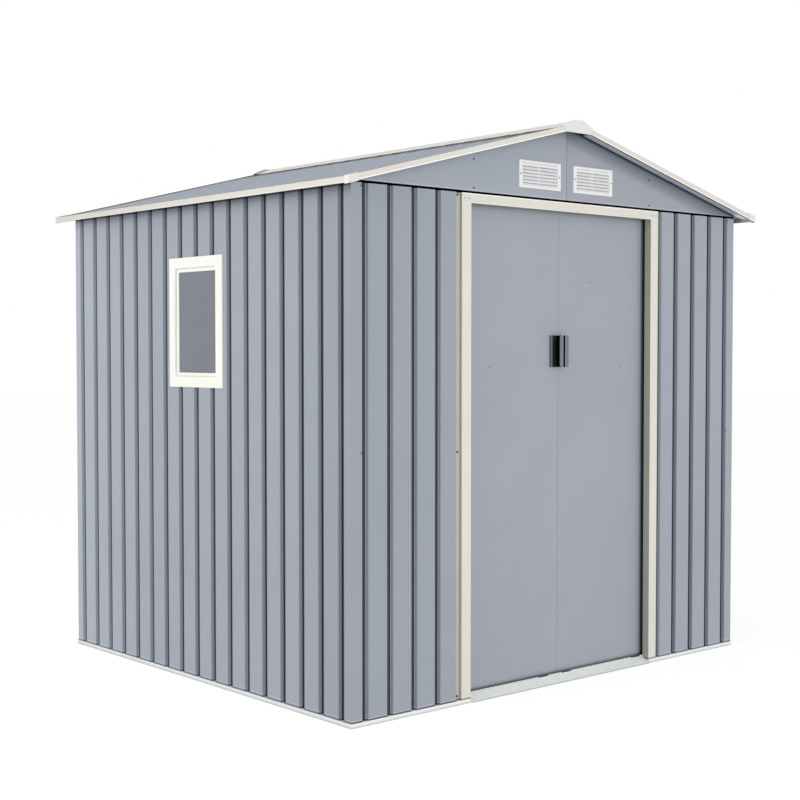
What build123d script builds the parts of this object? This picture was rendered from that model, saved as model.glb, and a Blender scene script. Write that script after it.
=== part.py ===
"""Metal storage shed with a low gable roof, a pair of sliding doors and one window in each side.

Millimetres, +Z up, the doors face -Y. The origin is on the ground, at the middle of the plan.
"""
from build123d import *
import math
import os

os.makedirs("parts", exist_ok=True)

# Driving dimensions of the building
WALL_WIDTH = 2010.0        # across the outer faces of the side walls
WALL_DEPTH = 1790.0        # across the outer faces of the front and back walls
EAVE_HEIGHT = 1756.0       # ground to the roof's lower edge
ROOF_OVERHANG = 60.0       # roof beyond the walls, on all four sides
ROOF_RISE = 0.256          # rise of the roof for each unit of run
SHEET = 1.5                # folded sheet metal
PLASTIC = 3.0              # moulded caps and frames
FIT = 0.3                  # clearance of a cap over what it covers
CUT_PAST = 1.0             # cuts run this far past the faces they open

# Base rails: one folded strip with a ledge for the wall sheets
RAIL_LEDGE = 15.0          # height of the ledge above the ground
RAIL_PROUD = 3.0           # rail beyond the wall's face
RAIL_FOOT = 40.0           # foot reaching into the shed, from the wall's face
RAIL_UPSTAND = 50.0        # top of the strip behind the sheets

# Grooved wall sheets
SIDE_GROOVES = 17
GROOVE_PITCH = 105.4       # on the front and back walls
GROOVE_MOUTH = 26.0
GROOVE_FLOOR = 16.0
GROOVE_DEPTH = 12.0
GROOVE_FROM_JAMB = 109.6   # middle of the nearest whole groove, from the jamb's outer side
JAMB_GROOVE = 25.0         # mouth of the groove in which a jamb stands, from the jamb's outer side
LAP_EVERY = 6              # a sheet is this many grooves wide

# Roof sheets
ROOF_RIB_HEIGHT = 6.0
ROOF_RIB_FOOT = 34.0
ROOF_RIB_TOP = 24.0
LAP_LEAD = 8.0             # how far a lapping sheet runs ahead of its first rib

# Doorway
DOORWAY_WIDTH = 955.0      # clear, between the jambs
JAMB_FACE = 43.5
JAMB_FLANGE = 18.0         # flange that lies on the wall's groove
FRAME_PROUD = 1.0          # door frame in front of the wall's face
REVEAL_DEPTH = 28.0        # back edge of the jambs and header, behind the wall's face
REVEAL_LIP = 14.0
HEADER_FACE = 33.0
HEADER_LIP = 6.0
SHADOW_GAP = 8.0           # open line between the walls and the gables, whose foot is level with the eave
SEAT_GAP = 1.0             # walls and gables stop this far below the roof sheets

# Sliding door leaves
LEAF_SETBACK = 40.0        # leaf's face behind the wall's face
LEAF_THICKNESS = 16.0
LEAF_OVERLAP = 40.0        # leaf behind its jamb when shut
LEAF_GAP = 5.0             # between the two leaves
LEAF_FOOT = 25.0           # lower edge above the ground
LEAF_TOP_GAP = 6.0         # between a leaf and the upper track
LEAF_BRACES = 2            # evenly spaced inside a leaf
BRACE_WIDTH = 40.0
BRACE_DEPTH = 12.0

# Handles: a channel open away from the other leaf, its foot on the leaf and its grip in front
HANDLE_LENGTH = 115.0
HANDLE_HEIGHT = 1210.0     # centre above the ground
HANDLE_SHEET = 2.0
HANDLE_WEB = 5.0           # the folds and free edges, from the middle of the doorway
HANDLE_FOOT = 44.0
HANDLE_GRIP = 23.5
HANDLE_REACH = 32.5        # grip in front of the leaf
HANDLE_CHAMFER = 5.0

# Tracks and runners
TRACK_WIDTH = 26.0
TRACK_HEIGHT = 25.0
TRACK_SLOT = 10.0
RUNNER_LENGTH = 46.0
RUNNER_NECK = 6.0
RUNNER_HEAD = 18.0
RUNNER_HEAD_HEIGHT = 13.0
RUNNER_INSET = 60.0        # runner's middle from the leaf's edge
GUIDE_CHANNEL = 8.0        # clear width of the lower track
GUIDE_CHANNEL_HEIGHT = 18.0
GUIDE_TIP_GAP = 3.0        # between a guide's tip and the channel's floor
TRACK_END_GAP = 50.0       # tracks stop short of the side walls

# Sill: a folded ramp between the jambs
SILL_LIP = 3.0
SILL_PROUD = 6.0
SILL_CREST = 24.0
SILL_CREST_BACK = 33.0     # crest behind the wall's face

# Inner frame
MID_RAIL_WIDTH = 40.0
MID_RAIL_FLANGE = 16.0
MID_RAIL_DEPTH = 18.0
TOP_RAIL_HEIGHT = 56.0     # side top rails' foot below the eave line
TOP_RAIL_DEPTH = 32.0
PURLIN_HEIGHT = 50.0
PURLIN_FLANGE = 30.0
RIDGE_BEAM_WIDTH = 28.0
RIDGE_BEAM_FLANGE = 40.0
RIDGE_BEAM_HEIGHT = 50.0

# Roof trims and caps
TRIM_FACE = 20.0
TRIM_FLANGE = 12.0         # over the sheets
TRIM_RETURN = 9.0          # under them
TRIM_END_GAP = 1.0         # eave trims stop this far inside the verge trims' faces
CORNER_CAP_VERGE = 42.0    # reach from the roof's corner, along the verge
CORNER_CAP_EAVE = 16.0     # and along the eave
CORNER_CAP_PROUD = 2.2
CORNER_CAP_HANG = 3.0      # below the trims
CORNER_CAP_ROUND = 3.0
RIDGE_CAP_HALF = 66.0
RIDGE_CAP_FLAT = 16.0      # half width of its flat top
RIDGE_CAP_LIP = 3.0
RIDGE_CAP_RISE = 23.0      # top above its lower edge
RIDGE_END_HALF = 70.0
RIDGE_END_PROUD = 3.0
RIDGE_END_WRAP = 28.0      # reach over the ridge cap
RIDGE_END_SHOULDER = 24.0  # upright sides of its outline
RIDGE_GAP = 12.0           # between the two slopes' sheets

# Vents
VENT_WIDTH = 212.5
VENT_HEIGHT = 96.5
VENT_FROM_MIDDLE = 141.0
VENT_ABOVE_EAVE = 78.5
VENT_PROUD = 4.0
VENT_SIDE_BORDER = 15.0
VENT_EDGE_BORDER = 7.5     # along the top and bottom
VENT_COLLAR = 8.0          # collar through the gable, behind its face
VENT_WALL = 1.5
VENT_SLATS = 7
VENT_SLAT_THICKNESS = 2.0
VENT_SLAT_DEPTH = 15.0
VENT_SLAT_TILT = 40.0
VENT_MULLION = 4.0

# Windows
WINDOW_WIDTH = 347.0
WINDOW_HEIGHT = 475.0
WINDOW_BELOW_EAVE = 440.0  # its middle below the eave line
WINDOW_BORDER = 38.0
WINDOW_PROUD = 4.0
WINDOW_ROUND = 12.0
WINDOW_TUBE = 22.0         # depth of the moulding behind the wall's face
WINDOW_RING = 15.0
WINDOW_RING_SETBACK = 3.5  # ring's face behind the wall's face
WINDOW_HOLE_GAP = 1.0      # between the moulding and the wall's cut-out
PANE = 4.0

half_width = WALL_WIDTH / 2
half_depth = WALL_DEPTH / 2
roof_half_width = half_width + ROOF_OVERHANG
roof_half_depth = half_depth + ROOF_OVERHANG
roof_angle = math.atan(ROOF_RISE)
sheet_drop = SHEET / math.cos(roof_angle)
rib_drop = ROOF_RIB_HEIGHT / math.cos(roof_angle)
groove_back = GROOVE_DEPTH + SHEET
doorway_half = DOORWAY_WIDTH / 2
jamb_outer = doorway_half + JAMB_FACE
header_top = EAVE_HEIGHT - SHADOW_GAP
header_foot = header_top - HEADER_FACE
track_foot = header_top - TRACK_HEIGHT
leaf_top = track_foot - LEAF_TOP_GAP
leaf_middle = LEAF_SETBACK + LEAF_THICKNESS / 2
guide_track_front = leaf_middle - GUIDE_CHANNEL / 2 - SHEET
mid_rail_height = (RAIL_LEDGE + EAVE_HEIGHT) / 2
top_rail_foot = EAVE_HEIGHT - TOP_RAIL_HEIGHT
side_pitch = WALL_DEPTH / SIDE_GROOVES
vent_clear_width = VENT_WIDTH - 2 * VENT_SIDE_BORDER
vent_clear_height = VENT_HEIGHT - 2 * VENT_EDGE_BORDER
window_clear_width = WINDOW_WIDTH - 2 * WINDOW_BORDER
window_clear_height = WINDOW_HEIGHT - 2 * WINDOW_BORDER
window_tube_width = window_clear_width + 2 * PLASTIC
window_tube_height = window_clear_height + 2 * PLASTIC


def roof_top(x):
    """Height of the roof trims' upper line at x."""
    return EAVE_HEIGHT + ROOF_RISE * (roof_half_width - abs(x))


def rib_top(x):
    """Height of the roof ribs at x."""
    return roof_top(x) - sheet_drop


def pan_under(x):
    """Height of the underside of the roof sheets' flats at x."""
    return rib_top(x) - rib_drop - sheet_drop


wall_top = pan_under(half_width) - SEAT_GAP
ridge_cap_foot = rib_top(RIDGE_CAP_HALF - SHEET)
ridge_cap_top = ridge_cap_foot + RIDGE_CAP_RISE


def outline(points):
    """Face inside a closed outline."""
    return make_face(Polyline(*points, close=True))


def folded(points, thickness, start_normal=None, end_normal=None):
    """Section of a folded strip: points run along its outer face, the thickness is to their right.

    A negative thickness is to the left. start_normal and end_normal mitre an end to a neighbour's fold.
    """
    path = [Vector(*point) for point in points]
    sides = [(b - a).normalized().rotate(Axis.Z, -90) for a, b in zip(path, path[1:])]
    before = [Vector(*start_normal) if start_normal else sides[0]] + sides
    after = sides + [Vector(*end_normal) if end_normal else sides[-1]]
    inner = [
        point + (one + two) * (thickness / (1 + one.dot(two)))
        for point, one, two in zip(path, before, after)
    ]
    return outline(path + inner[::-1])


def block(x, y, z):
    """Box between the given pairs of limits."""
    size = Box(x[1] - x[0], y[1] - y[0], z[1] - z[0], align=Align.MIN)
    return Pos(x[0], y[0], z[0]) * size


def upright(face, foot, top):
    """Plan section raised from foot to top."""
    return extrude(Pos(0, 0, foot) * face, amount=top - foot, dir=(0, 0, 1))


def along_side(face, half_length):
    """Section (depth behind the left wall's face, height) run along that wall."""
    plane = Plane((-half_width, half_length, 0), x_dir=(1, 0, 0), z_dir=(0, -1, 0))
    return extrude(plane * face, amount=2 * half_length, dir=(0, -1, 0))


def along_front(face, start, stop):
    """Section (depth behind the front wall's face, height) run from start to stop in x."""
    plane = Plane((start, -half_depth, 0), x_dir=(0, 1, 0), z_dir=(1, 0, 0))
    return extrude(plane * face, amount=stop - start, dir=(1, 0, 0))


def across_slope(face):
    """Section (y, height above the trims' upper line) run up the whole left slope."""
    plane = Plane(
        (-roof_half_width, 0, roof_top(roof_half_width)),
        x_dir=(0, 1, 0),
        z_dir=(math.cos(roof_angle), 0, math.sin(roof_angle)),
    )
    length = roof_half_width / math.cos(roof_angle) + PURLIN_HEIGHT
    start = plane.offset(-PURLIN_HEIGHT)
    return extrude(start * face, amount=length + PURLIN_HEIGHT, dir=plane.z_dir)


def slope_part(solid, start, stop):
    """The stretch of a sloping piece between two upright cuts."""
    return solid & block((start, stop), (-2 * half_depth, 2 * half_depth), (0, 2 * EAVE_HEIGHT))


def gable_profile(points, front, back):
    """Outline in x and z, run from y = front to y = back."""
    plane = Plane((0, front, 0), x_dir=(1, 0, 0), z_dir=(0, -1, 0))
    return extrude(plane * outline(points), amount=back - front, dir=(0, 1, 0))


def mitre_wedge(depth_out, side):
    """Plan wedge that gives the pieces round the plan their mitred ends."""
    w = half_width + depth_out
    d = half_depth + depth_out
    if side == "left":
        points = [(-w, -d), (-w, d), (d - w, 0)]
    else:
        points = [(-w, -d), (w, -d), (0, w - d)]
    return upright(outline(points), -CUT_PAST, 2 * EAVE_HEIGHT)


def to_right(shape):
    return mirror(shape, about=Plane.YZ)


def to_back(shape):
    return mirror(shape, about=Plane.XZ)


def save(name, *solids):
    shape = solids[0] if len(solids) == 1 else Compound(children=list(solids))
    export_step(shape, f"parts/{name}.step")


def base_rails():
    """Pale strips on the ground, mitred at the corners and open at the doorway."""
    section = folded(
        [
            (RAIL_FOOT, 0),
            (-RAIL_PROUD, 0),
            (-RAIL_PROUD, RAIL_LEDGE),
            (groove_back, RAIL_LEDGE),
            (groove_back, RAIL_UPSTAND),
        ],
        SHEET,
    )
    side = along_side(section, half_depth + RAIL_PROUD) & mitre_wedge(RAIL_PROUD, "left")
    whole = along_front(section, -half_width - RAIL_PROUD, half_width + RAIL_PROUD)
    whole = whole & mitre_wedge(RAIL_PROUD, "front")
    stop = -doorway_half - RAIL_PROUD
    left = whole & block((-2 * half_width, stop), (-2 * half_depth, 0), (0, RAIL_UPSTAND))
    left += block((stop - SHEET, stop), (-half_depth - RAIL_PROUD, groove_back - half_depth), (0, RAIL_LEDGE))
    save("left_base_rail", side)
    save("right_base_rail", to_right(side))
    save("back_base_rail", to_back(whole))
    save("front_base_rails", left, to_right(left))


def groove_points(start, stop, centres, laps):
    """Outer face of a grooved sheet: distance along the wall, depth behind its face.

    At a lap the next sheet starts on the floor of the groove, one sheet in front.
    """
    points = [(start, 0)]
    for index, centre in enumerate(centres):
        raised = GROOVE_DEPTH - SHEET
        points += [(centre - GROOVE_MOUTH / 2, 0), (centre - GROOVE_FLOOR / 2, GROOVE_DEPTH)]
        if index in laps:
            points += [(centre, GROOVE_DEPTH), (centre, raised), (centre + GROOVE_FLOOR / 2, raised)]
        else:
            points += [(centre + GROOVE_FLOOR / 2, GROOVE_DEPTH)]
        points += [(centre + GROOVE_MOUTH / 2, 0)]
    return points + [(stop, 0)]


def side_wall():
    """Left wall, mitred to the front and back walls."""
    centres = [side_pitch * (index + 0.5) for index in range(SIDE_GROOVES)]
    laps = range(LAP_EVERY - 1, SIDE_GROOVES - 1, LAP_EVERY)
    path = [(depth - half_width, along - half_depth) for along, depth in
            groove_points(0, WALL_DEPTH, centres, laps)]
    face = folded(path, SHEET, start_normal=(0, 1), end_normal=(0, -1))
    wall = upright(face, RAIL_LEDGE, wall_top)
    opening = window_plane() * extrude(
        RectangleRounded(
            window_tube_width + 2 * WINDOW_HOLE_GAP, window_tube_height + 2 * WINDOW_HOLE_GAP, WINDOW_ROUND
        ),
        amount=2 * groove_back,
        both=True,
    )
    return wall - opening


def back_wall():
    """Back wall, its grooves counted outwards from the middle."""
    count = math.floor((half_width - GROOVE_MOUTH) / GROOVE_PITCH - 0.5)
    centres = [GROOVE_PITCH * index for index in range(-count, count + 1)]
    laps = range(LAP_EVERY, len(centres) - 1, LAP_EVERY)
    path = [(along, half_depth - depth) for along, depth in
            groove_points(-half_width, half_width, centres, laps)]
    face = folded(path, SHEET, start_normal=(1, 0), end_normal=(-1, 0))
    return upright(face, RAIL_LEDGE, header_top)


def front_wall():
    """Left front wall, from the corner to the groove that the jamb's flange lies in."""
    nearest = jamb_outer + GROOVE_FROM_JAMB
    count = 1 + math.floor((half_width - GROOVE_MOUTH - nearest) / GROOVE_PITCH)
    centres = [-nearest - GROOVE_PITCH * index for index in reversed(range(count))]
    mouth = -jamb_outer - JAMB_GROOVE
    floor = mouth + (GROOVE_MOUTH - GROOVE_FLOOR) / 2
    points = groove_points(-half_width, mouth, centres, [0])
    points += [(floor, GROOVE_DEPTH), (SHEET - jamb_outer + REVEAL_LIP, GROOVE_DEPTH)]
    path = [(along, depth - half_depth) for along, depth in points]
    face = folded(path, -SHEET, start_normal=(-1, 0))
    return upright(face, RAIL_LEDGE, header_top)


def jamb():
    """Left jamb: flange on the wall's groove, side, face, reveal and back lip.

    Behind the header's face only the flange and the side go on, up to the header's top flange.
    """
    front = -half_depth
    flange = [
        (-jamb_outer - JAMB_FLANGE, front + GROOVE_DEPTH - SHEET),
        (-jamb_outer, front + GROOVE_DEPTH - SHEET),
    ]
    path = flange + [
        (-jamb_outer, front - FRAME_PROUD),
        (-doorway_half, front - FRAME_PROUD),
        (-doorway_half, front + REVEAL_DEPTH),
        (-doorway_half - REVEAL_LIP, front + REVEAL_DEPTH),
    ]
    behind_header = folded(flange + [(-jamb_outer, front - FRAME_PROUD + SHEET)], -SHEET)
    post = upright(folded(path, -SHEET), RAIL_LEDGE, header_foot)
    return post + upright(behind_header, header_foot, header_top - SHEET)


def header():
    """Band over the doorway; only its face reaches over the jambs."""
    section = folded(
        [
            (REVEAL_DEPTH, header_foot + HEADER_LIP),
            (REVEAL_DEPTH, header_foot),
            (-FRAME_PROUD, header_foot),
            (-FRAME_PROUD, header_top),
            (GROOVE_DEPTH, header_top),
        ],
        SHEET,
    )
    band = along_front(section, -jamb_outer, jamb_outer)
    behind = (SHEET - FRAME_PROUD - half_depth, REVEAL_DEPTH - half_depth)
    over_jamb = block((-jamb_outer, -doorway_half), behind, (header_foot, header_top - SHEET))
    return band - over_jamb - to_right(over_jamb)


def sill():
    """Ramp over the lower track, between the jambs."""
    section = folded(
        [
            (-SILL_PROUD, 0),
            (-SILL_PROUD, SILL_LIP),
            (SILL_CREST_BACK, SILL_CREST),
            (SILL_CREST_BACK, GUIDE_CHANNEL_HEIGHT),
            (guide_track_front, GUIDE_CHANNEL_HEIGHT),
        ],
        SHEET,
    )
    return along_front(section, -doorway_half, doorway_half)


def lower_track():
    """Channel behind the front wall, open upwards, that keeps the leaves' feet in line."""
    a = guide_track_front
    b = a + GUIDE_CHANNEL + 2 * SHEET
    section = folded([(a, GUIDE_CHANNEL_HEIGHT), (a, 0), (b, 0), (b, GUIDE_CHANNEL_HEIGHT)], -SHEET)
    reach = half_width - TRACK_END_GAP
    return along_front(section, -reach, reach)


def upper_track():
    """Channel with a slot in its underside, which carries the runners."""
    a = leaf_middle - TRACK_WIDTH / 2
    b = a + TRACK_WIDTH
    slot_a = leaf_middle - TRACK_SLOT / 2
    slot_b = leaf_middle + TRACK_SLOT / 2
    top = track_foot + TRACK_HEIGHT
    section = folded(
        [(slot_a, track_foot), (a, track_foot), (a, top), (b, top), (b, track_foot), (slot_b, track_foot)],
        SHEET,
    )
    reach = half_width - TRACK_END_GAP
    return along_front(section, -reach, reach)


def top_rails():
    """Channels behind the top of the walls, mitred at the corners."""
    side = folded(
        [
            (TOP_RAIL_DEPTH, top_rail_foot),
            (groove_back, top_rail_foot),
            (groove_back, pan_under(half_width - groove_back)),
            (TOP_RAIL_DEPTH, pan_under(half_width - TOP_RAIL_DEPTH)),
        ],
        SHEET,
    )
    front_depth = leaf_middle - TRACK_WIDTH / 2
    front = folded(
        [
            (front_depth, track_foot),
            (groove_back, track_foot),
            (groove_back, wall_top),
            (front_depth, wall_top),
        ],
        SHEET,
    )
    side_rail = along_side(side, half_depth) & mitre_wedge(0, "left")
    front_rail = along_front(front, -half_width, half_width) & mitre_wedge(0, "front")
    save("side_top_rails", side_rail, to_right(side_rail))
    save("front_top_rail", front_rail)
    save("back_top_rail", to_back(front_rail))


def mid_rail_section():
    """Hat section against the grooves' backs."""
    low = mid_rail_height - MID_RAIL_WIDTH / 2
    high = mid_rail_height + MID_RAIL_WIDTH / 2
    crown = groove_back + MID_RAIL_DEPTH
    return folded(
        [
            (groove_back, low - MID_RAIL_FLANGE),
            (groove_back, low),
            (crown, low),
            (crown, high),
            (groove_back, high),
            (groove_back, high + MID_RAIL_FLANGE),
        ],
        SHEET,
    )


def mid_rails():
    """Rails at half height: sides and back, and short ones behind the front walls."""
    section = mid_rail_section()
    side = along_side(section, half_depth - groove_back)
    inner = half_width - groove_back - MID_RAIL_DEPTH - 2 * SHEET
    short = along_front(section, -inner, SHEET - jamb_outer + REVEAL_LIP)
    save("side_mid_rails", side, to_right(side))
    save("back_mid_rail", to_back(along_front(section, -inner, inner)))
    save("front_mid_rails", short, to_right(short))


def gable_half():
    """Left half of the front gable: flat sheet with a folded foot, cut out behind its vent."""
    outer = SHEET - half_width
    points = [
        (outer, EAVE_HEIGHT),
        (-FIT, EAVE_HEIGHT),
        (-FIT, pan_under(0) - SEAT_GAP),
        (outer, pan_under(outer) - SEAT_GAP),
    ]
    sheet = gable_profile(points, -half_depth, SHEET - half_depth)
    foot = block(
        (-half_width + groove_back + SHEET, -FIT),
        (SHEET - half_depth, groove_back - half_depth),
        (EAVE_HEIGHT, EAVE_HEIGHT + SHEET),
    )
    margin = 2 * (VENT_WALL + FIT)
    hole = vent_plane() * Box(vent_clear_width + margin, vent_clear_height + margin, 4 * SHEET)
    return sheet + foot - hole


def vent_plane():
    """Plane on the front gable at the middle of its left vent, facing outwards."""
    origin = (-VENT_FROM_MIDDLE, -half_depth, EAVE_HEIGHT + VENT_ABOVE_EAVE)
    return Plane(origin, x_dir=(1, 0, 0), z_dir=(0, -1, 0))


def vent():
    """Louvred grille: a border, a collar through the gable, tilted slats and a mullion, all one moulding."""
    clear = Rectangle(vent_clear_width, vent_clear_height)
    collar = Rectangle(vent_clear_width + 2 * VENT_WALL, vent_clear_height + 2 * VENT_WALL)
    depth = VENT_PROUD + VENT_COLLAR
    border = extrude(Rectangle(VENT_WIDTH, VENT_HEIGHT) - clear, amount=VENT_PROUD)
    grille = border + Pos(0, 0, -VENT_COLLAR) * extrude(collar - clear, amount=depth)
    step = vent_clear_height / VENT_SLATS
    louvres = Pos(0, 0, -VENT_COLLAR) * extrude(Rectangle(VENT_MULLION, vent_clear_height), amount=depth / 2)
    for index in range(VENT_SLATS):
        height = step * (index + 0.5) - vent_clear_height / 2
        slat = Rot(-VENT_SLAT_TILT, 0, 0) * Box(vent_clear_width, VENT_SLAT_DEPTH, VENT_SLAT_THICKNESS)
        louvres += Pos(0, height, VENT_PROUD - depth / 2) * slat
    inside = Pos(0, 0, -VENT_COLLAR) * extrude(collar, amount=depth)
    return vent_plane() * (grille + (louvres & inside))


def roof_section():
    """Ribbed sheets of one slope, side by side: y, height above the trims' upper line."""
    flat = -SHEET - ROOF_RIB_HEIGHT
    edge = roof_half_depth - SHEET - FIT
    points = [(-edge, flat)]
    for index in range(SIDE_GROOVES):
        centre = side_pitch * (index + 0.5) - half_depth
        foot = ROOF_RIB_FOOT / 2
        top = ROOF_RIB_TOP / 2
        if index % LAP_EVERY == LAP_EVERY - 1:
            points += [(centre - foot - LAP_LEAD, flat), (centre - foot - LAP_LEAD, flat + SHEET)]
            points += [(centre - foot, flat + SHEET), (centre - top, -SHEET), (centre + top, -SHEET)]
            points += [(centre + foot, flat)]
        else:
            points += [(centre - foot, flat), (centre - top, -SHEET)]
            points += [(centre + top, -SHEET), (centre + foot, flat)]
    return folded(points + [(edge, flat)], SHEET)


def roof():
    return slope_part(across_slope(roof_section()), SHEET + FIT - roof_half_width, -RIDGE_GAP / 2)


def eave_trim():
    """Folded trim on the left eave, closed over and under the sheets' edge."""
    at = -roof_half_width
    path = [
        (at + TRIM_RETURN, EAVE_HEIGHT - TRIM_FACE),
        (at, EAVE_HEIGHT - TRIM_FACE),
        (at, EAVE_HEIGHT),
        (at + TRIM_FLANGE, roof_top(at + TRIM_FLANGE)),
    ]
    half_length = roof_half_depth - TRIM_END_GAP
    plane = Plane((0, half_length, 0), x_dir=(1, 0, 0), z_dir=(0, -1, 0))
    return extrude(plane * folded(path, SHEET), amount=2 * half_length, dir=(0, -1, 0))


def verge_trim():
    """Folded trim on the front edge of the left slope."""
    at = -roof_half_depth
    face = TRIM_FACE * math.cos(roof_angle)
    path = [(at + TRIM_RETURN, -face), (at, -face), (at, 0), (at + TRIM_FLANGE, 0)]
    trim = across_slope(folded(path, SHEET))
    return slope_part(trim, TRIM_FLANGE + SHEET - roof_half_width, -RIDGE_END_HALF - FIT)


def corner_cap():
    """Moulded cap over the front left corner of the roof."""
    outer_x = -roof_half_width - CORNER_CAP_PROUD
    outer_y = -roof_half_depth - CORNER_CAP_PROUD
    inner_x = -roof_half_width + CORNER_CAP_VERGE
    inner_y = -roof_half_depth + CORNER_CAP_EAVE
    thick = CORNER_CAP_PROUD - 2 * FIT

    def line(x, lift):
        return (x, EAVE_HEIGHT + ROOF_RISE * (x + roof_half_width) + lift)

    drop = -TRIM_FACE - CORNER_CAP_HANG
    shell = gable_profile(
        [line(outer_x, drop), line(inner_x, drop), line(inner_x, PLASTIC), line(outer_x, PLASTIC)],
        outer_y,
        inner_y,
    )
    outer_edge = shell.edges().filter_by(Axis.Z).group_by(Axis.X)[0].sort_by(Axis.Y)[0]
    shell = fillet(outer_edge, CORNER_CAP_ROUND)
    cavity = gable_profile(
        [
            line(outer_x + thick, 2 * drop),
            line(inner_x + CUT_PAST, 2 * drop),
            line(inner_x + CUT_PAST, FIT),
            line(outer_x + thick, FIT),
        ],
        outer_y + thick,
        inner_y + CUT_PAST,
    )
    return shell - cavity


def ridge_cap_outline(half, foot, shoulder, top, flat):
    return [(-half, foot), (-half, shoulder), (-flat, top), (flat, top), (half, shoulder), (half, foot)]


def ridge_cap():
    """Folded cap that rests on the ribs of both slopes."""
    shoulder = ridge_cap_foot + RIDGE_CAP_LIP
    path = ridge_cap_outline(RIDGE_CAP_HALF, ridge_cap_foot, shoulder, ridge_cap_top, RIDGE_CAP_FLAT)
    plane = Plane((0, roof_half_depth - SHEET, 0), x_dir=(1, 0, 0), z_dir=(0, -1, 0))
    length = 2 * (roof_half_depth - SHEET)
    return extrude(plane * folded(path, SHEET), amount=length, dir=(0, -1, 0))


def ridge_end_cap():
    """Moulded cap on the front end of the ridge, its face in front of the verge trims."""
    front = -roof_half_depth - RIDGE_END_PROUD
    wall = RIDGE_END_HALF - RIDGE_CAP_HALF - FIT
    foot = roof_top(RIDGE_END_HALF) - TRIM_FACE
    shoulder = foot + RIDGE_END_SHOULDER
    top = ridge_cap_top + FIT + wall
    back = -roof_half_depth + RIDGE_END_WRAP
    flat = RIDGE_CAP_FLAT + wall / 2
    shell = gable_profile(ridge_cap_outline(RIDGE_END_HALF, foot, shoulder, top, flat), front, back)
    cavity = gable_profile(
        ridge_cap_outline(RIDGE_END_HALF - wall, foot + wall, shoulder, top - wall, flat),
        front + RIDGE_END_PROUD - FIT,
        back + CUT_PAST,
    )
    half = 2 * RIDGE_END_HALF
    over_roof = gable_profile(
        [(-half, 0), (half, 0), (half, roof_top(half) + FIT), (0, roof_top(0) + FIT), (-half, roof_top(half) + FIT)],
        -roof_half_depth - FIT,
        back + CUT_PAST,
    )
    return shell - cavity - over_roof


def purlin():
    """Channel under the middle of the left slope, gable to gable."""
    x = -half_width / 2
    path = [
        (x - PURLIN_FLANGE, pan_under(x - PURLIN_FLANGE)),
        (x, pan_under(x)),
        (x, pan_under(x) - PURLIN_HEIGHT),
        (x - PURLIN_FLANGE, pan_under(x) - PURLIN_HEIGHT),
    ]
    return between_gables(folded(path, SHEET))


def ridge_beam():
    """Hat section under the ridge, gable to gable."""
    inner = RIDGE_BEAM_WIDTH / 2
    outer = inner + RIDGE_BEAM_FLANGE
    foot = pan_under(inner) - RIDGE_BEAM_HEIGHT
    path = [
        (-outer, pan_under(outer)),
        (-inner, pan_under(inner)),
        (-inner, foot),
        (inner, foot),
        (inner, pan_under(inner)),
        (outer, pan_under(outer)),
    ]
    return between_gables(folded(path, SHEET))


def between_gables(face):
    reach = half_depth - SHEET
    plane = Plane((0, reach, 0), x_dir=(1, 0, 0), z_dir=(0, -1, 0))
    return extrude(plane * face, amount=2 * reach, dir=(0, -1, 0))


def window_plane():
    """Plane on the left wall's face at the middle of its window, facing outwards."""
    return Plane((-half_width, 0, EAVE_HEIGHT - WINDOW_BELOW_EAVE), x_dir=(0, -1, 0), z_dir=(-1, 0, 0))


def window_frame():
    """Moulded frame: border on the wall's face, tube through the wall, ring that holds the pane."""
    clear = RectangleRounded(window_clear_width, window_clear_height, WINDOW_ROUND)
    tube = RectangleRounded(window_tube_width, window_tube_height, WINDOW_ROUND + PLASTIC)
    sight = Rectangle(window_clear_width - 2 * WINDOW_RING, window_clear_height - 2 * WINDOW_RING)
    border = extrude(Rectangle(WINDOW_WIDTH, WINDOW_HEIGHT) - clear, amount=WINDOW_PROUD)
    wall_tube = Pos(0, 0, -WINDOW_TUBE) * extrude(tube - clear, amount=WINDOW_TUBE)
    ring = Pos(0, 0, -WINDOW_RING_SETBACK - PLASTIC) * extrude(clear - sight, amount=PLASTIC)
    return window_plane() * (border + wall_tube + ring)


def window_pane():
    """Clear pane behind the ring."""
    face = RectangleRounded(window_clear_width - 2 * FIT, window_clear_height - 2 * FIT, WINDOW_ROUND)
    pane = extrude(face, amount=PANE)
    return window_plane() * Pos(0, 0, -WINDOW_RING_SETBACK - PLASTIC - PANE) * pane


def leaf():
    """Left door leaf: a shallow tray, open at the back, with hat-shaped braces inside."""
    outer = -doorway_half - LEAF_OVERLAP
    inner = -LEAF_GAP / 2
    front = LEAF_SETBACK - half_depth
    back = front + LEAF_THICKNESS
    tray = block((outer, inner), (front, back), (LEAF_FOOT, leaf_top))
    tray -= block(
        (outer + SHEET, inner - SHEET), (front + SHEET, back), (LEAF_FOOT + SHEET, leaf_top - SHEET)
    )
    brace_pitch = (leaf_top - LEAF_FOOT) / (LEAF_BRACES + 1)
    for index in range(LEAF_BRACES):
        height = LEAF_FOOT + brace_pitch * (index + 1)
        low = height - BRACE_WIDTH / 2
        high = height + BRACE_WIDTH / 2
        tray += block((outer + SHEET, inner - SHEET), (front + SHEET, front + BRACE_DEPTH), (low, high))
        tray -= block(
            (outer + SHEET, inner - SHEET),
            (front + SHEET, front + BRACE_DEPTH - SHEET),
            (low + SHEET, high - SHEET),
        )
    return tray


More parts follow.
